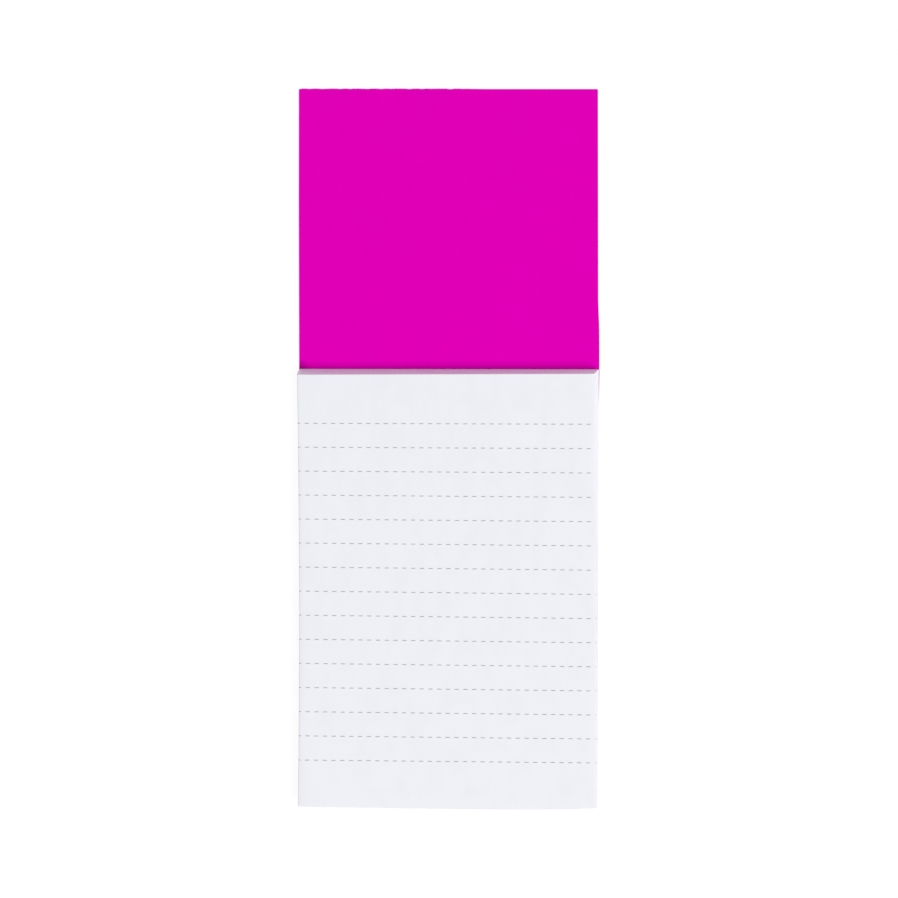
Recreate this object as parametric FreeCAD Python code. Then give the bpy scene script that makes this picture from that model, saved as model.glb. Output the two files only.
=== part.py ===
"""A magnetic notepad: a gummed block of ruled leaves on a flexible magnet sheet.

The magnet sheet is longer than the leaves, so a bare header of its coloured
cover film shows above them. The notepad lies on its magnetic back. X runs
across it, +Y points from the foot to the header, and +Z points up through the
leaves. The origin is the middle of the magnetic back. Lengths are millimetres.
"""
import FreeCAD, Part
import os

from FreeCAD import Vector

# The leaves
LEAF_WIDTH = 62.0
LEAF_LENGTH = 90.2
LEAF_COUNT = 40
LEAF_THICKNESS = 0.10  # 80 g/m2 paper, pressed flat where the gum holds it

# How the block sits: a trimmed stack slips a little before the gum sets
LEAN_TO_FOOT = 0.80  # of the top leaf over the bottom one
LEAN_TO_LEFT = 0.35
FOOT_SWELL = 0.30  # air between the free ends of the leaves
GRIP_LENGTH = 25.0  # how far from the head the gum keeps the leaves flat

# The backing under the leaves
HEADER_LENGTH = 58.1  # bare, from the bottom leaf to the head of the magnet
SIDE_MARGIN = 0.10  # of the magnet past the bottom leaf, on each side
FOOT_MARGIN = 0.0  # of the magnet past the top leaf, at the foot
MAGNET_THICKNESS = 0.50
FILM_THICKNESS = 0.10
CORNER_RADIUS = 0.30

# The adhesives
TAPE_THICKNESS = 0.10
TAPE_INSET = 1.0  # the tape stops this far inside the bottom leaf
GUM_CROWN = 0.15  # thickness of the brushed coat at half its height
GUM_EDGE = 0.04  # and where it thins out, at its top and bottom edges

CUT_SPARE = 5.0  # how far a trimming solid reaches past what it trims

# Heights of the layers
FILM_BOTTOM = MAGNET_THICKNESS
TAPE_BOTTOM = FILM_BOTTOM + FILM_THICKNESS
BLOCK_BOTTOM = TAPE_BOTTOM + TAPE_THICKNESS
HEAD_HEIGHT = LEAF_COUNT * LEAF_THICKNESS
FOOT_HEIGHT = HEAD_HEIGHT + FOOT_SWELL


def slip_to_foot(height):
    """How far a leaf at this height lies towards the foot of the bottom one."""
    return LEAN_TO_FOOT * height / HEAD_HEIGHT


# Outline of the magnet and the film, centred on the origin
BACKING_WIDTH = LEAF_WIDTH + 2 * SIDE_MARGIN
BACKING_LENGTH = HEADER_LENGTH + LEAF_LENGTH + slip_to_foot(FOOT_HEIGHT) + FOOT_MARGIN

# Edges of the bottom leaf
LEAF_LEFT = -LEAF_WIDTH / 2
LEAF_RIGHT = LEAF_WIDTH / 2
LEAF_HEAD = BACKING_LENGTH / 2 - HEADER_LENGTH
LEAF_FOOT = LEAF_HEAD - LEAF_LENGTH


def rectangle(left, right, foot, head, z):
    """A flat face at height z."""
    corners = [(left, foot), (right, foot), (right, head), (left, head)]
    points = [Vector(x, y, z) for x, y in corners]
    return Part.Face(Part.makePolygon(points + points[:1]))


def backing_layer(bottom, thickness):
    """One layer of the die-cut backing, with its small corner radius."""
    face = rectangle(
        -BACKING_WIDTH / 2, BACKING_WIDTH / 2, -BACKING_LENGTH / 2, BACKING_LENGTH / 2, bottom
    )
    plate = face.extrude(Vector(0, 0, thickness))
    corners = [e for e in plate.Edges if abs(e.tangentAt(e.FirstParameter).z) > 0.5]
    return plate.makeFillet(CORNER_RADIUS, corners)


def magnet_sheet():
    return backing_layer(0, MAGNET_THICKNESS)


def cover_film():
    return backing_layer(FILM_BOTTOM, FILM_THICKNESS)


def pad_tape():
    """The double-sided tape, a little smaller than the bottom leaf."""
    face = rectangle(
        LEAF_LEFT + TAPE_INSET,
        LEAF_RIGHT - TAPE_INSET,
        LEAF_FOOT + TAPE_INSET,
        LEAF_HEAD - TAPE_INSET,
        TAPE_BOTTOM,
    )
    return face.extrude(Vector(0, 0, TAPE_THICKNESS))


def side_point(y, height):
    """A point of the block's side view, at a height above the bottom leaf.

    The view lies clear of the block on its left, and y is what it would be if
    the leaves had not slipped.
    """
    x = LEAF_LEFT - LEAN_TO_LEFT - CUT_SPARE
    return Vector(x, y - slip_to_foot(height), BLOCK_BOTTOM + height)


def between_cut_sides(edges):
    """The side view's outline run across the block, trimmed at its two long sides.

    The sides are guillotined flat, and lean with the leaves.
    """
    outline = Part.Face(Part.Wire(edges))
    bar = outline.extrude(Vector(LEAF_WIDTH + LEAN_TO_LEFT + 2 * CUT_SPARE, 0, 0))
    base = rectangle(
        LEAF_LEFT, LEAF_RIGHT, LEAF_FOOT - CUT_SPARE, LEAF_HEAD + CUT_SPARE, BLOCK_BOTTOM
    )
    rise = FOOT_HEIGHT + CUT_SPARE
    slab = base.extrude(Vector(-LEAN_TO_LEFT * rise / HEAD_HEIGHT, 0, rise))
    return bar.common(slab).Solids[0]


def leaf_block():
    """All the leaves as one solid: flat at the gummed head, swelling to the foot."""
    head_bottom = side_point(LEAF_HEAD, 0)
    head_top = side_point(LEAF_HEAD, HEAD_HEIGHT)
    foot_top = side_point(LEAF_FOOT, FOOT_HEIGHT)
    foot_bottom = side_point(LEAF_FOOT, 0)
    top_leaf = Part.BezierCurve()
    top_leaf.setPoles(
        [
            head_top,
            head_top - Vector(0, GRIP_LENGTH, 0),
            foot_top + Vector(0, GRIP_LENGTH, 0),
            foot_top,
        ]
    )
    return between_cut_sides(
        [
            Part.LineSegment(head_bottom, head_top).toShape(),
            top_leaf.toShape(),
            Part.LineSegment(foot_top, foot_bottom).toShape(),
            Part.LineSegment(foot_bottom, head_bottom).toShape(),
        ]
    )


def binding_gum():
    """The coat of gum brushed on the head end, fullest at half its height."""
    leaf_bottom = side_point(LEAF_HEAD, 0)
    leaf_top = side_point(LEAF_HEAD, HEAD_HEIGHT)
    coat_bottom = side_point(LEAF_HEAD + GUM_EDGE, 0)
    coat_crown = side_point(LEAF_HEAD + GUM_CROWN, HEAD_HEIGHT / 2)
    coat_top = side_point(LEAF_HEAD + GUM_EDGE, HEAD_HEIGHT)
    return between_cut_sides(
        [
            Part.LineSegment(leaf_top, leaf_bottom).toShape(),
            Part.LineSegment(leaf_bottom, coat_bottom).toShape(),
            Part.Arc(coat_bottom, coat_crown, coat_top).toShape(),
            Part.LineSegment(coat_top, leaf_top).toShape(),
        ]
    )


PIECES = {
    "magnet_sheet": magnet_sheet,
    "cover_film": cover_film,
    "pad_tape": pad_tape,
    "leaf_block": leaf_block,
    "binding_gum": binding_gum,
}

os.makedirs("parts", exist_ok=True)
for name, build in PIECES.items():
    shape = build()
    shape.exportStep(f"parts/{name}.step")
    print(f"{name}: {shape.Volume:.1f} mm3, valid {shape.isValid()}")
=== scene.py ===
"""The looks of the magnetic notepad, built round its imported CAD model.

The leaves, the gum and the two layers of the backing are modelled again with
the detail that a solid cannot hold, each in the space of its CAD node. The
tape keeps its CAD shape. Lengths are metres, in the CAD model's own frame.
"""

import math
import random

import bmesh
import bpy
from mathutils import Matrix, Vector

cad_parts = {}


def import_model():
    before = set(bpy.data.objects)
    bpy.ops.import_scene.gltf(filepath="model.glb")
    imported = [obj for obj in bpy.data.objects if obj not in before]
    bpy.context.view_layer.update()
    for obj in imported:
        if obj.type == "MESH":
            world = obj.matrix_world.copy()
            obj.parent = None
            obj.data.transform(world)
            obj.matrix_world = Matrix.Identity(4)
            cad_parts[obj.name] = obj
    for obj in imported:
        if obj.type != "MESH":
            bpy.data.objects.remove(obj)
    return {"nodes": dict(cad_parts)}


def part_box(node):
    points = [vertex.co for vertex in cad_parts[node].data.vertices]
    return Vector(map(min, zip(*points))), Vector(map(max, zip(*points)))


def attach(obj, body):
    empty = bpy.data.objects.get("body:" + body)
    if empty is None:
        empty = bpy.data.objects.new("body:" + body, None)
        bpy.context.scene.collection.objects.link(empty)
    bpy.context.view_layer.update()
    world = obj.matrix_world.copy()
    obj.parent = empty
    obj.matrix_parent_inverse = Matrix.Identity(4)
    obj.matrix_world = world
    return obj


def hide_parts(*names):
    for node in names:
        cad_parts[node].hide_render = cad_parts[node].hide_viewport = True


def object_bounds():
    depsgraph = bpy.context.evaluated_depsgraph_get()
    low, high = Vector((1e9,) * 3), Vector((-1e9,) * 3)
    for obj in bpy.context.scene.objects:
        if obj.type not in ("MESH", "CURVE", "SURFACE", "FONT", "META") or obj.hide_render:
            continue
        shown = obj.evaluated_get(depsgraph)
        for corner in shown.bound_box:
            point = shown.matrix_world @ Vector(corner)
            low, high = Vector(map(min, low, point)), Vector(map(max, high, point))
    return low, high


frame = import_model()
CAD_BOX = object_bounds()

MM = 0.001
random.seed(5)

# The CAD model's sizes
BLOCK_LOW, BLOCK_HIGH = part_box("leaf_block")
TAPE_LOW, TAPE_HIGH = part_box("pad_tape")
GUM_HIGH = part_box("binding_gum")[1]
FILM_LOW, FILM_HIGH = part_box("cover_film")
MAGNET_LOW, MAGNET_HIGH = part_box("magnet_sheet")

TAPE_INSET = BLOCK_HIGH.y - TAPE_HIGH.y
LEAF_LEFT, LEAF_RIGHT = TAPE_LOW.x - TAPE_INSET, BLOCK_HIGH.x
LEAF_FOOT, LEAF_HEAD = TAPE_LOW.y - TAPE_INSET, BLOCK_HIGH.y
LEAF_WIDTH, LEAF_LENGTH = LEAF_RIGHT - LEAF_LEFT, LEAF_HEAD - LEAF_FOOT
BLOCK_BASE = BLOCK_LOW.z
HEAD_HEIGHT = GUM_HIGH.z - BLOCK_BASE
FOOT_SWELL = BLOCK_HIGH.z - GUM_HIGH.z
LEAN = Vector((BLOCK_LOW.x - LEAF_LEFT, BLOCK_LOW.y - LEAF_FOOT, 0)) / (HEAD_HEIGHT + FOOT_SWELL)

# The leaves
LEAF_COUNT = 40
PAPER = 0.094 * MM  # a little under the stack's pitch, so that leaves never touch
GRIP = 25 * MM  # how far from the head the gum keeps the leaves flat
STACK_GRID = (8, 12)  # steps across and along each leaf under the top one
TOP_GRID = (24, 36)
HALVINGS = 30  # that find a place along a leaf's curve

# The air under each leaf, before it is shared out: little under most, and much under a few
LEAST_AIR, MOST_AIR = 0.25, 6.25
AIR_RARITY = 8  # the higher this power, the rarer the wide gaps

# How the guillotine cut the block
TRIM_ERROR = 0.04 * MM  # how far a leaf's free edges may fall short of the block's
ROLL_WIDTH, ROLL_DROP = 1.3 * MM, 0.09 * MM  # it pressed the leaves' free edges down
BURR_WIDTH, BURR_DROP = 0.25 * MM, 0.11 * MM  # and turned the very edge down more
HEAD_TRIM = 0.37 * MM  # what it took off the right side, at the top leaf's head
FOOT_TRIM = 0.42 * MM  # and at the bottom leaf's foot
FOOT_ARCH, FOOT_ARCH_POWER = 0.82 * MM, 1.5  # the foot is a little convex
ARCH_MIDDLE = 0.71  # and fullest at this share of the width
FOOT_CORNER_CUT, FOOT_CORNER_RUN = 0.18 * MM, 5 * MM  # and runs in at its right corner

# How the block sits out of square
HEAD_SKEW = 0.26 * MM  # how much further down the top leaf's head is at its left end
BOW_LEFT, BOW_RIGHT = 0.36 * MM, 0.12 * MM  # how far its two sides bow to the right, half way down

# The ruling
LINE_COUNT = 15
LINE_PITCH = 5.00 * MM
FIRST_LINE = 10.24 * MM  # below the top leaf's head
LINE_THICKNESS = 0.17 * MM
FIRST_SLOPE, LAST_SLOPE = 0.0055, 0.0078  # the lines fall to the right
MIDDLE_SLOPE = 0.0048  # and those in the middle by this much more
LINE_WEAR = 0.55  # how much thinner the lines print at the right edge
INK = 0.006 * MM
DASH = 1.00 * MM
DASH_PITCH = 1.8265 * MM
FIRST_DASH = 1.90 * MM  # middle of the first whole dash, from the left edge
LAST_SHIFT = 0.05 * MM  # how far left of it the last line starts
LAST_SHRINK = 0.0030  # how much shorter than the first line the last one is
DASH_ROUNDNESS = 2.6  # power of the dashes' outline: 2 is an ellipse, and a large one a box
DASH_TIP = 0.1  # how thick a dash's blunt tip is, as a share of its middle
DASH_STEPS = 10  # so that a dash is rounded, and follows the rolled edge

# The backing's outline. A trim's run is where it starts and where it is whole, both measured from
# the leaves' head.
CORNER_RADIUS = 0.3 * MM
CORNER_STEPS, SIDE_STEPS = 6, 170
WAVE_DEPTH = 0.12 * MM  # of the head edge, which the die left wavy on the left
WAVE_LENGTHS = (4.3 * MM, 2.9 * MM, 2.1 * MM)
WAVE_END = (2 * MM, 8 * MM)  # right of the middle, where the waves turn into a straight cut
STRAIGHT_INSET = 0.08 * MM
HEADER_RIGHT_TRIM = 0.22 * MM  # what the die took off the header's right side
HEADER_RIGHT_RUN = (7 * MM, 15 * MM)
HEADER_LEFT_TRIM = 0.08 * MM  # and off its left side
HEADER_LEFT_RUN = (30 * MM, 58 * MM)
SIDE_TRIM = 0.14 * MM  # what the guillotine took off each side, beside the leaves
SIDE_TRIM_RUN = (0, 12 * MM)
FOOT_TAPER = 0.90 * MM  # and more off the right one, growing evenly to the foot

# The gum
GUM_EDGE = GUM_HIGH.y - BLOCK_HIGH.y
GUM_CROWN = 0.15 * MM
GUM_GRID = (160, 10)  # steps along the block and up it
LUMP_LENGTHS = (7.3 * MM, 3.1 * MM, 1.7 * MM)
LUMP_DEPTH = 0.15  # how much thinner the coat gets between its lumps, as a share
LUMP_SLANT = 0.6  # how far the lumps shift along the block as they rise
PAINTED_SHADE_REACH = (0.24 * MM, 2.4 * MM)  # how far the painted shade on the film reaches from the left end of the block's head: in full, and at all
PAINTED_SHADE_LEVEL = 0.6  # how bright the film stays under the painted shade

SHARP_ANGLE = math.radians(35)  # surfaces that meet at more than this keep a sharp edge


# ---------------------------------------------------------------- meshes

def mesh_piece(name, points, faces, material, stands_for):
    """Adds a piece of the object, with the edges between its surfaces kept sharp."""
    mesh = bpy.data.meshes.new(name)
    mesh.from_pydata(points, [], faces)
    bm = bmesh.new()
    bm.from_mesh(mesh)
    bmesh.ops.recalc_face_normals(bm, faces=bm.faces)
    for face in bm.faces:
        face.smooth = True
    for edge in bm.edges:
        edge.smooth = edge.calc_face_angle(0) < SHARP_ANGLE
    bm.to_mesh(mesh)
    bm.free()
    mesh.materials.append(material)
    piece = bpy.data.objects.new(name, mesh)
    bpy.context.scene.collection.objects.link(piece)
    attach(piece, "root")
    if stands_for:
        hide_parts(stands_for)


def add_slab(points, faces, top, bottom):
    """Adds a closed sheet between two grids of points with the same rows and columns."""
    rows, columns = len(top), len(top[0])
    start = len(points)
    for grid in (top, bottom):
        for row in grid:
            points.extend(row)
    under = rows * columns

    def at(i, j, layer=0):
        return start + layer * under + i * columns + j

    for i in range(rows - 1):
        for j in range(columns - 1):
            faces.append((at(i, j), at(i + 1, j), at(i + 1, j + 1), at(i, j + 1)))
            faces.append((at(i, j, 1), at(i, j + 1, 1), at(i + 1, j + 1, 1), at(i + 1, j, 1)))
    rim = [(i, 0) for i in range(rows)]
    rim += [(rows - 1, j) for j in range(1, columns)]
    rim += [(i, columns - 1) for i in range(rows - 2, -1, -1)]
    rim += [(0, j) for j in range(columns - 2, 0, -1)]
    for a, b in zip(rim, rim[1:] + rim[:1]):
        faces.append((at(*a), at(*a, 1), at(*b, 1), at(*b)))


# ---------------------------------------------------------------- leaves

def along_leaf(t):
    """Distance from the head, and share of the foot's swell, at t of the way down a leaf.

    The curve is the CAD block's: flat as far as the gum grips, and flat again at the foot.
    """
    distance = (
        3 * GRIP * t * (1 - t) ** 2
        + 3 * (LEAF_LENGTH - GRIP) * t**2 * (1 - t)
        + LEAF_LENGTH * t**3
    )
    return distance, t * t * (3 - 2 * t)


def t_at(distance):
    """The t of along_leaf at a distance from the head, by halving."""
    low, high = 0.0, 1.0
    for _ in range(HALVINGS):
        middle = (low + high) / 2
        if along_leaf(middle)[0] < distance:
            low = middle
        else:
            high = middle
    return (low + high) / 2


def eased(value, start, end):
    """0 up to start, 1 from end on, and a smooth step between them."""
    share = min(max((value - start) / (end - start), 0), 1)
    return share * share * (3 - 2 * share)


def right_edge(distance, level=1.0):
    """How wide a leaf is at a distance from its head. Level 0 is the bottom leaf, and 1 the top one."""
    share = distance / LEAF_LENGTH
    return LEAF_WIDTH - HEAD_TRIM * level * (1 - share) - FOOT_TRIM * (1 - level) * share


def foot_inset(across):
    """How far the cut foot falls short of its fullest place."""
    arch = FOOT_ARCH * abs(across / LEAF_WIDTH - ARCH_MIDDLE) ** FOOT_ARCH_POWER
    return arch + FOOT_CORNER_CUT * eased(across, LEAF_WIDTH - FOOT_CORNER_RUN, LEAF_WIDTH)


def foot_edge(across):
    """How long a leaf is at a place across it."""
    return LEAF_LENGTH - foot_inset(across)


def edge_drop(across, distance):
    """How far a place on the top leaf is pressed down, fading inwards from each free edge."""
    gap = max(0.0, min(across, right_edge(distance) - across, foot_edge(across) - distance))
    return sum(
        drop * max(0.0, 1 - gap / width) ** 2
        for width, drop in ((ROLL_WIDTH, ROLL_DROP), (BURR_WIDTH, BURR_DROP))
    )


def skewed(across, distance, height):
    """How far the head's skew moves a point of the block towards the header."""
    from_foot = 1 - distance / LEAF_LENGTH
    return (across / LEAF_WIDTH - 0.5) * HEAD_SKEW * height / HEAD_HEIGHT * from_foot


def bowed(across, distance, height):
    """How far the block's bow moves a point of it to the right."""
    share = distance / LEAF_LENGTH
    most = BOW_LEFT + (BOW_RIGHT - BOW_LEFT) * across / LEAF_WIDTH
    return most * 4 * share * (1 - share) * height / HEAD_HEIGHT


def air_shares():
    """For each leaf, the share of the foot's swell that lies under it.

    The free ends stay together in clumps, with most of the air in a few wide gaps.
    """
    spare = MOST_AIR - LEAST_AIR
    gaps = [0.0]
    gaps += [LEAST_AIR + spare * random.random() ** AIR_RARITY for _ in range(LEAF_COUNT - 1)]
    return [sum(gaps[: number + 1]) / sum(gaps) for number in range(LEAF_COUNT)]


AIR = air_shares()


def leaf_point(number, across, t, up=0.0):
    """A point of a leaf, counted from 0 at the bottom one.

    across runs from the left edge, t from head to foot, and up is the height above
    the leaf's underside. All leaves roll at the top leaf's edges, so that they never
    cross, and the upper ones roll more.
    """
    distance, swell = along_leaf(t)
    level = number / LEAF_COUNT
    height = level * HEAD_HEIGHT + AIR[number] * FOOT_SWELL * swell
    return Vector((
        LEAF_LEFT + across + LEAN.x * height + bowed(across, distance, height),
        LEAF_HEAD - distance + LEAN.y * height + skewed(across, distance, height),
        BLOCK_BASE + height - level * edge_drop(across, distance) + up,
    ))


def spread(length, steps):
    """Distances over a length, closer together near the ends, where the edges roll."""
    near = [0.0, 0.25 * BURR_WIDTH, 0.5 * BURR_WIDTH, BURR_WIDTH, 0.5 * ROLL_WIDTH, ROLL_WIDTH]
    middle = [ROLL_WIDTH + (length - 2 * ROLL_WIDTH) * k / steps for k in range(1, steps)]
    return near + middle + [length - d for d in reversed(near)]


def leaf_grids(number, steps_across, steps_along):
    """The top and bottom surfaces of one leaf, each free edge cut a little askew."""
    foot_error, left_error, right_error = (
        [random.uniform(0, TRIM_ERROR) for _ in range(2)] for _ in range(3)
    )

    def between(ends, share):
        return ends[0] + (ends[1] - ends[0]) * share

    bottom = []
    for down in spread(LEAF_LENGTH, steps_along):
        row = []
        width = right_edge(down, number / (LEAF_COUNT - 1))
        left = between(left_error, down / LEAF_LENGTH)
        right = width - between(right_error, down / LEAF_LENGTH)
        for across in spread(width, steps_across):
            foot = foot_edge(across)
            cut = foot - between(foot_error, across / width)
            t = t_at(min(down * foot / LEAF_LENGTH, cut))
            row.append(leaf_point(number, min(max(across, left), right), t))
        bottom.append(row)
    top = [[point + Vector((0, 0, PAPER)) for point in row] for row in bottom]
    return top, bottom


def leaf_stack(material):
    """All the leaves under the top one, each a sheet of its own with air between them."""
    points, faces = [], []
    for number in range(LEAF_COUNT - 1):
        add_slab(points, faces, *leaf_grids(number, *STACK_GRID))
    mesh_piece("leaf_stack", points, faces, material, "leaf_block")


def top_leaf(material):
    points, faces = [], []
    add_slab(points, faces, *leaf_grids(LEAF_COUNT - 1, *TOP_GRID))
    mesh_piece("top_leaf", points, faces, material, "leaf_block")


def line_slope(share):
    """How steeply a line falls to the right, at a share of the way from the first to the last."""
    return FIRST_SLOPE + (LAST_SLOPE - FIRST_SLOPE) * share + MIDDLE_SLOPE * 4 * share * (1 - share)


def add_dash(points, faces, middle, down):
    """Adds one dash of ink, rounded as small print comes out, and cut off at the leaf's sides."""
    left = max(middle - DASH / 2, TRIM_ERROR)
    right = min(middle + DASH / 2, right_edge(down) - TRIM_ERROR)
    if right - left < LINE_THICKNESS / 2:
        return
    upper, lower = [], []
    for step in range(DASH_STEPS + 1):
        across = left + (right - left) * (1 - math.cos(math.pi * step / DASH_STEPS)) / 2
        from_middle = min(1.0, abs(across - middle) / (DASH / 2))
        fullness = (1 - from_middle**DASH_ROUNDNESS) ** (1 / DASH_ROUNDNESS)
        wear = LINE_WEAR * (1 - eased(right_edge(down) - across, 0, ROLL_WIDTH))
        half = LINE_THICKNESS / 2 * max(DASH_TIP, fullness) * (1 - wear)
        upper.append((across, t_at(down - half)))
        lower.append((across, t_at(down + half)))

    def at_height(up):
        return [[leaf_point(LEAF_COUNT - 1, *place, up) for place in side] for side in (upper, lower)]

    add_slab(points, faces, at_height(PAPER + INK), at_height(PAPER - INK))


def ruled_lines(material):
    """The dashed writing lines, as thin films of ink that run off both sides of the top leaf."""
    points, faces = [], []
    dashes = math.ceil(LEAF_WIDTH / DASH_PITCH) + 1
    for line in range(LINE_COUNT):
        share = line / (LINE_COUNT - 1)
        for k in range(-1, dashes):
            middle = (FIRST_DASH + k * DASH_PITCH) * (1 - LAST_SHRINK * share) - LAST_SHIFT * share
            fall = line_slope(share) * (middle - LEAF_WIDTH / 2)
            add_dash(points, faces, middle, FIRST_LINE + line * LINE_PITCH + fall)
    mesh_piece("ruled_lines", points, faces, material, None)


# ---------------------------------------------------------------- gum

def new_ripple(lengths):
    """A smooth irregular wave from -1 to 1: the mean of sines of the given lengths, each shifted."""
    sines = [(length, random.uniform(0, 2 * math.pi)) for length in lengths]

    def wave(place):
        heights = [math.sin(2 * math.pi * place / length + phase) for length, phase in sines]
        return sum(heights) / len(heights)

    return wave


def binding_gum(material):
    """The brushed coat on the head end: full at half its height, and lumpy along its length."""
    steps, rows = GUM_GRID
    lumps = new_ripple(LUMP_LENGTHS)
    front, back = [], []
    for i in range(rows + 1):
        share = i / rows
        height = share * HEAD_HEIGHT
        belly = 4 * share * (1 - share)
        outer, inner = [], []
        for across in spread(right_edge(0, share), steps):
            lump = 1 - LUMP_DEPTH + LUMP_DEPTH * lumps(across + LUMP_SLANT * height)
            depth = (GUM_EDGE + (GUM_CROWN - GUM_EDGE) * belly) * lump
            base = Vector((LEAF_LEFT + across, LEAF_HEAD, BLOCK_BASE + height)) + LEAN * height
            base.y += skewed(across, 0, height)
            base.z -= share * edge_drop(across, 0)
            inner.append(base)
            outer.append(base + Vector((0, depth, 0)))
        front.append(outer)
        back.append(inner)
    points, faces = [], []
    add_slab(points, faces, front, back)
    mesh_piece("gum_coat", points, faces, material, "binding_gum")


# ---------------------------------------------------------------- backing

def rounded_rectangle(half, foot, head):
    """The points of its outline, anticlockwise from the foot's left corner, with many on each side."""
    arcs = []
    for number, (x, y) in enumerate([(-half, foot), (half, foot), (half, head), (-half, head)]):
        arc = []
        for k in range(CORNER_STEPS + 1):
            angle = math.radians(180 + 90 * number + 90 * k / CORNER_STEPS)
            arc.append((
                x + CORNER_RADIUS * (math.cos(angle) - math.copysign(1, x)),
                y + CORNER_RADIUS * (math.sin(angle) - math.copysign(1, y)),
            ))
        arcs.append(arc)
    outline = []
    for arc, after in zip(arcs, arcs[1:] + arcs[:1]):
        outline += arc
        (from_x, from_y), (to_x, to_y) = arc[-1], after[0]
        for k in range(1, SIDE_STEPS):
            share = k / SIDE_STEPS
            outline.append((from_x + (to_x - from_x) * share, from_y + (to_y - from_y) * share))
    return outline


def backing_outline():
    """The outline of the backing, inside its CAD one: a rounded rectangle, less what was cut off."""
    half, foot, head = FILM_HIGH.x, FILM_LOW.y, FILM_HIGH.y
    waves = new_ripple(WAVE_LENGTHS)
    trimmed = []
    for x, y in rounded_rectangle(half, foot, head):
        wave = WAVE_DEPTH * max(0, waves(x))
        head_inset = wave + (STRAIGHT_INSET - wave) * eased(x, *WAVE_END)
        y -= head_inset * max(0, 1 - (head - y) / CORNER_RADIUS)
        y += foot_inset(x - LEAF_LEFT) * max(0, 1 - (y - foot) / FOOT_CORNER_RUN)
        trim = SIDE_TRIM * eased(LEAF_HEAD - y, *SIDE_TRIM_RUN)
        if x < 0:
            trim += HEADER_LEFT_TRIM * eased(y - LEAF_HEAD, *HEADER_LEFT_RUN)
        else:
            trim += HEADER_RIGHT_TRIM * eased(y - LEAF_HEAD, *HEADER_RIGHT_RUN)
            trim += FOOT_TAPER * max(0, LEAF_HEAD - y) / (LEAF_HEAD - foot)
        trimmed.append((x - trim * x / half, y))
    return trimmed


def plate(name, outline, low, high, material, stands_for):
    """A flat layer of the backing."""
    count = len(outline)
    points = [(x, y, z) for z in (low, high) for x, y in outline]
    faces = [tuple(range(count - 1, -1, -1)), tuple(range(count, 2 * count))]
    for k in range(count):
        after = (k + 1) % count
        faces.append((k, after, after + count, k + count))
    mesh_piece(name, points, faces, material, stands_for)


# ---------------------------------------------------------------- materials

NOISE_LOW, NOISE_HIGH = 0.3, 0.7  # noise mostly lies between these


def new_material(name):
    """A material, its shader, and the place on the object in metres, which all the noise follows."""
    material = bpy.data.materials.new(name)
    material.use_nodes = True
    nodes = material.node_tree.nodes
    shader = nodes["Principled BSDF"]
    place = nodes.new("ShaderNodeTexCoord").outputs["Object"]
    return material, shader, place


def connect(a, b):
    a.id_data.links.new(a, b)


def stretched(place, scale):
    """The coordinates divided by a feature size along each axis: one unit is one feature."""
    node = place.id_data.nodes.new("ShaderNodeMapping")
    connect(place, node.inputs["Vector"])
    node.inputs["Scale"].default_value = [1 / size for size in scale]
    return node.outputs["Vector"]


def noise(place, size, detail, roughness=0.5):
    """Noise with features of about the given size, or sizes along X, Y and Z."""
    sizes = size if isinstance(size, tuple) else (size, size, size)
    node = place.id_data.nodes.new("ShaderNodeTexNoise")
    connect(stretched(place, sizes), node.inputs["Vector"])
    node.inputs["Scale"].default_value = 1
    node.inputs["Detail"].default_value = detail
    node.inputs["Roughness"].default_value = roughness
    return node.outputs["Fac"]


def ranged(value, low, high, start=NOISE_LOW, end=NOISE_HIGH):
    """The value's stretch from start to end spread over low to high."""
    node = value.id_data.nodes.new("ShaderNodeMapRange")
    connect(value, node.inputs["Value"])
    node.inputs["From Min"].default_value = start
    node.inputs["From Max"].default_value = end
    node.inputs["To Min"].default_value = low
    node.inputs["To Max"].default_value = high
    return node.outputs["Result"]


def blended(value, first, second, start=NOISE_LOW, end=NOISE_HIGH):
    """From the first colour to the second as the value goes from start to end."""
    node = value.id_data.nodes.new("ShaderNodeValToRGB")
    connect(value, node.inputs["Fac"])
    for element, position, colour in zip(node.color_ramp.elements, (start, end), (first, second)):
        element.position = position
        element.color = (*colour, 1)
    return node.outputs["Color"]


def added(first, second, share):
    """The first value plus a share of the second."""
    node = first.id_data.nodes.new("ShaderNodeMath")
    node.operation = "MULTIPLY_ADD"
    connect(second, node.inputs[0])
    node.inputs[1].default_value = share
    connect(first, node.inputs[2])
    return node.outputs["Value"]


def bumped(shader, value, height, strength):
    """Gives the shader a relief of the given height, from the value."""
    node = value.id_data.nodes.new("ShaderNodeBump")
    node.inputs["Strength"].default_value = strength
    node.inputs["Distance"].default_value = height
    connect(value, node.inputs["Height"])
    connect(node.outputs["Normal"], shader.inputs["Normal"])


def upright(place):
    """1 on faces that stand upright, and 0 on level ones."""
    nodes = place.id_data.nodes
    split = nodes.new("ShaderNodeSeparateXYZ")
    connect(nodes.new("ShaderNodeNewGeometry").outputs["Normal"], split.inputs[0])
    squared = nodes.new("ShaderNodeMath")
    squared.operation = "POWER"
    connect(split.outputs["Z"], squared.inputs[0])
    squared.inputs[1].default_value = 2
    return ranged(squared.outputs["Value"], 1, 0, 0, 1)


def product(first, second):
    node = first.id_data.nodes.new("ShaderNodeMath")
    node.operation = "MULTIPLY"
    connect(first, node.inputs[0])
    connect(second, node.inputs[1])
    return node.outputs["Value"]


def scaled(colour, factor):
    """The colour made darker or brighter by a factor that varies over the surface."""
    node = colour.id_data.nodes.new("ShaderNodeVectorMath")
    node.operation = "SCALE"
    connect(colour, node.inputs[0])
    connect(factor, node.inputs["Scale"])
    return node.outputs["Vector"]


def distance_from(place, point):
    node = place.id_data.nodes.new("ShaderNodeVectorMath")
    node.operation = "DISTANCE"
    connect(place, node.inputs[0])
    node.inputs[1].default_value = point
    return node.outputs["Value"]


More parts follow.
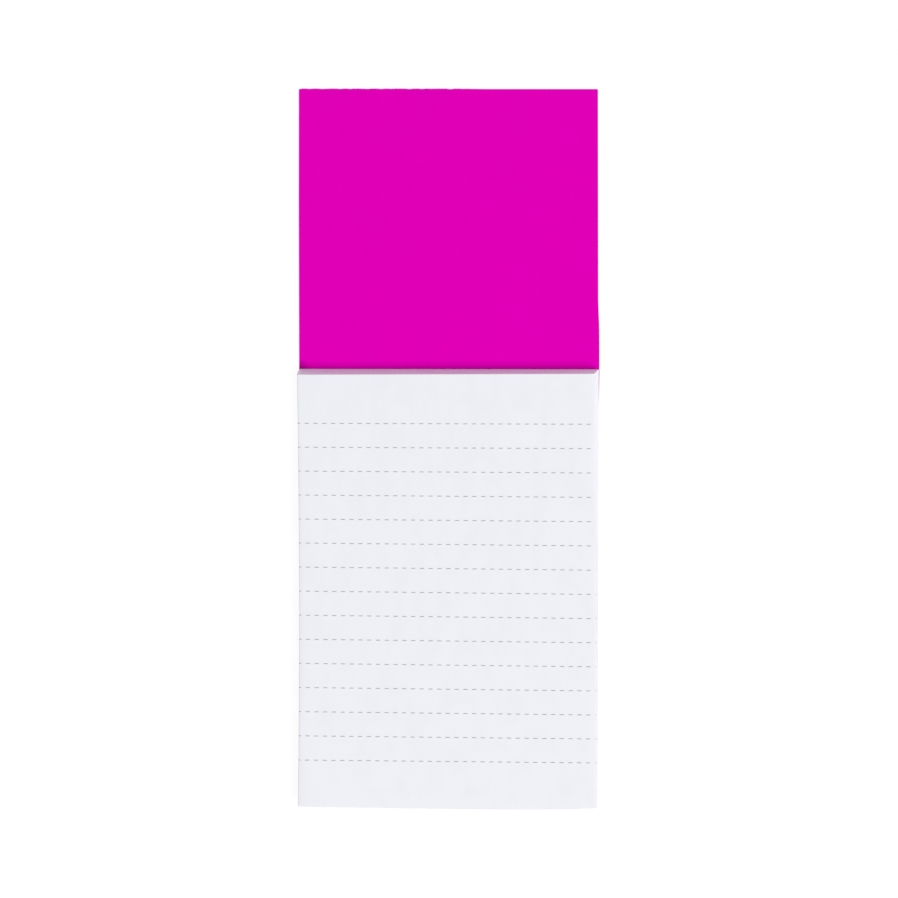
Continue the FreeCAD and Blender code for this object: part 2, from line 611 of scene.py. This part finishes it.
def shade(colour, by):
    """A written colour made darker or brighter."""
    return tuple(min(1.0, channel * by) for channel in colour)


def paper_material():
    """Uncoated white writing paper: cloudy formation, fine fibres along the leaf.

    Its upright faces are darker in fine lines along the block's sides: painted shade of the gaps
    between leaves.
    """
    material, shader, place = new_material("leaf_paper")
    white = (0.8515, 0.8575, 0.900)
    clouds = noise(place, (3.5 * MM, 6 * MM, 3 * MM), 2.0)
    fibres = noise(place, (0.09 * MM, 0.32 * MM, 0.09 * MM), 4.0, 0.6)
    tone = added(clouds, fibres, 0.8)
    colour = blended(tone, shade(white, 0.988), shade(white, 1.008), 0.7, 1.1)
    # darker lines on upright faces only: painted shade between the leaves
    lines = noise(place, (16 * MM, 16 * MM, 0.22 * MM), 2.0, 0.6)
    painted_gap_shade = ranged(product(ranged(lines, 0, 1, 0.35, 0.6), upright(place)), 1.0, 0.9, 0, 1)
    connect(scaled(colour, painted_gap_shade), shader.inputs["Base Color"])
    connect(ranged(fibres, 0.86, 0.97), shader.inputs["Roughness"])
    shader.inputs["Specular IOR Level"].default_value = 0.2
    bumped(shader, fibres, 0.006 * MM, 0.6)
    return material


def ink_material():
    """Pale grey offset ink, broken by the paper's tooth."""
    material, shader, place = new_material("grey_ink")
    grey = (0.36, 0.363, 0.395)
    tooth = noise(place, 0.06 * MM, 3.0, 0.6)
    colour = blended(tooth, shade(grey, 0.8), shade(grey, 1.35), 0.35, 0.7)
    connect(colour, shader.inputs["Base Color"])
    connect(ranged(tooth, 0.7, 0.9), shader.inputs["Roughness"])
    shader.inputs["Specular IOR Level"].default_value = 0.25
    return material


def vinyl_material():
    """Satin magenta vinyl, with the faint mottle of its calendered face.

    Its colour is darkened round the left end of the block's head: painted shade in that corner.
    """
    material, shader, place = new_material("magenta_vinyl")
    magenta = (0.745, 0.0, 0.468)
    broad = noise(place, 9 * MM, 2.0)
    fine = noise(place, 0.35 * MM, 3.0)
    tone = added(broad, fine, 0.35)
    colour = blended(tone, shade(magenta, 0.982), shade(magenta, 1.012), 0.45, 0.85)
    # painted shade on the film in the corner by the left end of the block's head
    from_corner = distance_from(place, (LEAF_LEFT, LEAF_HEAD, FILM_HIGH.z))
    painted_corner_shade = ranged(from_corner, PAINTED_SHADE_LEVEL, 1, *PAINTED_SHADE_REACH)
    connect(scaled(colour, painted_corner_shade), shader.inputs["Base Color"])
    connect(ranged(fine, 0.44, 0.56), shader.inputs["Roughness"])
    shader.inputs["Specular IOR Level"].default_value = 0.15
    shader.inputs["Specular Tint"].default_value = (1.0, 0.0, 0.63, 1)  # gloss of the dye's colour
    bumped(shader, fine, 0.004 * MM, 0.5)
    return material


def gum_material():
    """Dried padding gum, with brush streaks along the block."""
    material, shader, place = new_material("dried_gum")
    milky = (0.80, 0.795, 0.87)
    streaks = noise(place, (6 * MM, 0.4 * MM, 0.22 * MM), 3.0)
    specks = noise(place, 0.5 * MM, 2.0)
    tone = added(streaks, specks, 0.3)
    colour = blended(tone, shade(milky, 0.95), shade(milky, 1.04), 0.45, 0.85)
    connect(colour, shader.inputs["Base Color"])
    connect(ranged(streaks, 0.32, 0.48), shader.inputs["Roughness"])
    shader.inputs["Specular IOR Level"].default_value = 0.4
    bumped(shader, tone, 0.02 * MM, 0.6)
    return material


def rubber_material():
    """Magnet-filled rubber: dark, dusty with ferrite grain, with faint roller lines across it."""
    material, shader, place = new_material("magnet_rubber")
    dark = (0.030, 0.026, 0.024)
    grain = noise(place, 0.12 * MM, 4.0, 0.65)
    lines = noise(place, (30 * MM, 0.9 * MM, 30 * MM), 2.0)
    scuffs = noise(place, (14 * MM, 9 * MM, 9 * MM), 3.0)
    tone = added(added(grain, lines, 0.5), scuffs, 0.2)
    colour = blended(tone, shade(dark, 0.75), shade(dark, 1.6), 0.6, 1.1)
    connect(colour, shader.inputs["Base Color"])
    connect(ranged(added(scuffs, grain, 0.5), 0.6, 0.7, 0.5, 1.0), shader.inputs["Roughness"])
    shader.inputs["Specular IOR Level"].default_value = 0.4
    bumped(shader, added(grain, lines, 1.2), 0.02 * MM, 0.5)
    return material


def adhesive_material():
    """Clear adhesive film with trapped haze."""
    material, shader, place = new_material("clear_adhesive")
    haze = noise(place, 1.2 * MM, 3.0)
    connect(blended(haze, (0.72, 0.71, 0.66), (0.80, 0.79, 0.75)), shader.inputs["Base Color"])
    connect(ranged(haze, 0.18, 0.34), shader.inputs["Roughness"])
    return material


# ---------------------------------------------------------------- stage

FLOOR_SIZE = 12.0
FLOOR_GAP = 0.02 * MM  # keeps the floor and the magnet's back from sharing a plane
FLOOR_WHITE = 0.85  # how pale the floor is to the light that it throws back
FLOOR_GLOW, FLOOR_LIT = 0.92, 0.10  # and to the camera: mostly glow, so that the shadow is pale

FILL_LEVEL = 0.42  # the even light from all round
# Where each softbox stands, how wide and high it is, and the brightness it gives a white floor
KEY = (Vector((1.12, -0.98, 2.85)), (1.95, 1.2), 0.60)
CARD = (Vector((0.0, 3.0, 1.0)), (3.0, 1.2), 0.036)
UNDER_LAMP = (Vector((0.3, -0.3, -2.0)), (2.0, 2.0), 0.5)

VIEW_WIDTH = 185.92 * MM  # what the frame takes in, across the notepad
LENS = 600.0
TO_RIGHT, TO_HEADER = math.radians(3), math.radians(4)  # the camera's lean from straight above
CAMERA_ROLL = math.radians(-0.117)
AIM = (-0.097 * MM, -0.097 * MM)  # the frame's middle, right of the origin and above it as seen


def camera_share(nodes, links):
    """Two shares that are 1 for what the camera sees. The first is also 1 for what shows in a gloss."""
    path = nodes.new("ShaderNodeLightPath")
    either = nodes.new("ShaderNodeMath")
    either.operation = "MAXIMUM"
    links.new(path.outputs["Is Camera Ray"], either.inputs[0])
    links.new(path.outputs["Is Glossy Ray"], either.inputs[1])
    return either.outputs["Value"], path.outputs["Is Camera Ray"]


def floor_material():
    """A white floor: near white with a pale shadow where it is seen, and plain and diffuse to light.

    From below it is clear, so that the notepad's back can be looked at.
    """
    material = bpy.data.materials.new("white_floor")
    material.use_nodes = True
    nodes, links = material.node_tree.nodes, material.node_tree.links
    nodes.clear()
    seen, camera = camera_share(nodes, links)
    lit = nodes.new("ShaderNodeBsdfDiffuse")
    lit.inputs["Color"].default_value = (FLOOR_LIT, FLOOR_LIT, FLOOR_LIT, 1)
    glow = nodes.new("ShaderNodeEmission")
    glow.inputs["Strength"].default_value = FLOOR_GLOW
    both = nodes.new("ShaderNodeAddShader")
    links.new(lit.outputs[0], both.inputs[0])
    links.new(glow.outputs[0], both.inputs[1])
    plain = nodes.new("ShaderNodeBsdfDiffuse")
    plain.inputs["Color"].default_value = (FLOOR_WHITE, FLOOR_WHITE, FLOOR_WHITE, 1)
    front = nodes.new("ShaderNodeMixShader")
    links.new(seen, front.inputs["Fac"])
    links.new(plain.outputs[0], front.inputs[1])
    links.new(both.outputs[0], front.inputs[2])
    clear = nodes.new("ShaderNodeBsdfTransparent")
    geometry = nodes.new("ShaderNodeNewGeometry")
    below = nodes.new("ShaderNodeMath")
    below.operation = "MULTIPLY"
    links.new(geometry.outputs["Backfacing"], below.inputs[0])
    links.new(camera, below.inputs[1])
    whole = nodes.new("ShaderNodeMixShader")
    links.new(below.outputs["Value"], whole.inputs["Fac"])
    links.new(front.outputs[0], whole.inputs[1])
    links.new(clear.outputs[0], whole.inputs[2])
    output = nodes.new("ShaderNodeOutputMaterial")
    links.new(whole.outputs[0], output.inputs["Surface"])
    return material


def floor():
    """The floor, which lets the light of the lamp under it through to the notepad's back."""
    half = FLOOR_SIZE / 2
    corners = [(-half, -half), (half, -half), (half, half), (-half, half)]
    mesh = bpy.data.meshes.new("floor")
    mesh.from_pydata([(x, y, CAD_BOX[0].z - FLOOR_GAP) for x, y in corners], [], [(0, 1, 2, 3)])
    mesh.materials.append(floor_material())
    plane = bpy.data.objects.new("floor", mesh)
    bpy.context.scene.collection.objects.link(plane)
    plane.visible_shadow = False


def world():
    """White to the camera, and a low even fill light for everything else."""
    surroundings = bpy.data.worlds.new("studio")
    bpy.context.scene.world = surroundings
    surroundings.use_nodes = True
    nodes, links = surroundings.node_tree.nodes, surroundings.node_tree.links
    nodes.clear()
    _, camera = camera_share(nodes, links)
    fill, shown = nodes.new("ShaderNodeBackground"), nodes.new("ShaderNodeBackground")
    fill.inputs["Strength"].default_value = FILL_LEVEL
    shown.inputs["Color"].default_value = (1, 1, 1, 1)
    fill.inputs["Color"].default_value = (1, 1, 1, 1)
    mix = nodes.new("ShaderNodeMixShader")
    links.new(camera, mix.inputs["Fac"])
    links.new(fill.outputs[0], mix.inputs[1])
    links.new(shown.outputs[0], mix.inputs[2])
    output = nodes.new("ShaderNodeOutputWorld")
    links.new(mix.outputs[0], output.inputs["Surface"])


def softbox(name, place, size, level):
    """A rectangular soft light that is aimed at the origin and hidden from the camera."""
    lamp = bpy.data.lights.new(name, "AREA")
    lamp.shape = "RECTANGLE"
    lamp.size, lamp.size_y = size
    lamp.energy = level * math.pi**2 * place.length**3 / abs(place.z)
    light = bpy.data.objects.new(name, lamp)
    light.location = place
    light.rotation_euler = (-place).to_track_quat("-Z", "Y").to_euler()
    light.visible_camera = False
    bpy.context.scene.collection.objects.link(light)


def camera():
    """A long lens nearly above the notepad, a little to its header's side and its right."""
    lens = bpy.data.cameras.new("camera")
    lens.lens = LENS
    back = Vector((math.tan(TO_RIGHT), math.tan(TO_HEADER), 1)).normalized()
    up = (Vector((0, 1, 0)) - back.y * back).normalized()
    right = up.cross(back)
    right, up = (
        right * math.cos(CAMERA_ROLL) + up * math.sin(CAMERA_ROLL),
        up * math.cos(CAMERA_ROLL) - right * math.sin(CAMERA_ROLL),
    )
    turn = Matrix((right, up, back)).transposed()
    eye = bpy.data.objects.new("camera", lens)
    eye.rotation_euler = turn.to_euler()
    distance = VIEW_WIDTH * LENS / lens.sensor_width
    eye.location = back * distance + right * AIM[0] + up * AIM[1]
    lens.clip_end = 2 * distance
    bpy.context.scene.collection.objects.link(eye)
    bpy.context.scene.camera = eye


# ---------------------------------------------------------------- the scene

paper = paper_material()
leaf_stack(paper)
top_leaf(paper)
ruled_lines(ink_material())
binding_gum(gum_material())

outline = backing_outline()
plate(
    "vinyl_cover", outline, FILM_LOW.z, FILM_HIGH.z,
    vinyl_material(), "cover_film",
)
plate(
    "rubber_magnet", outline, MAGNET_LOW.z, MAGNET_HIGH.z,
    rubber_material(), "magnet_sheet",
)
tape = frame["nodes"]["pad_tape"]
tape.data.materials.clear()
tape.data.materials.append(adhesive_material())

floor()
world()
softbox("key", *KEY)
softbox("card", *CARD)
softbox("under_lamp", *UNDER_LAMP)
camera()
bpy.context.scene.view_settings.view_transform = "Standard"
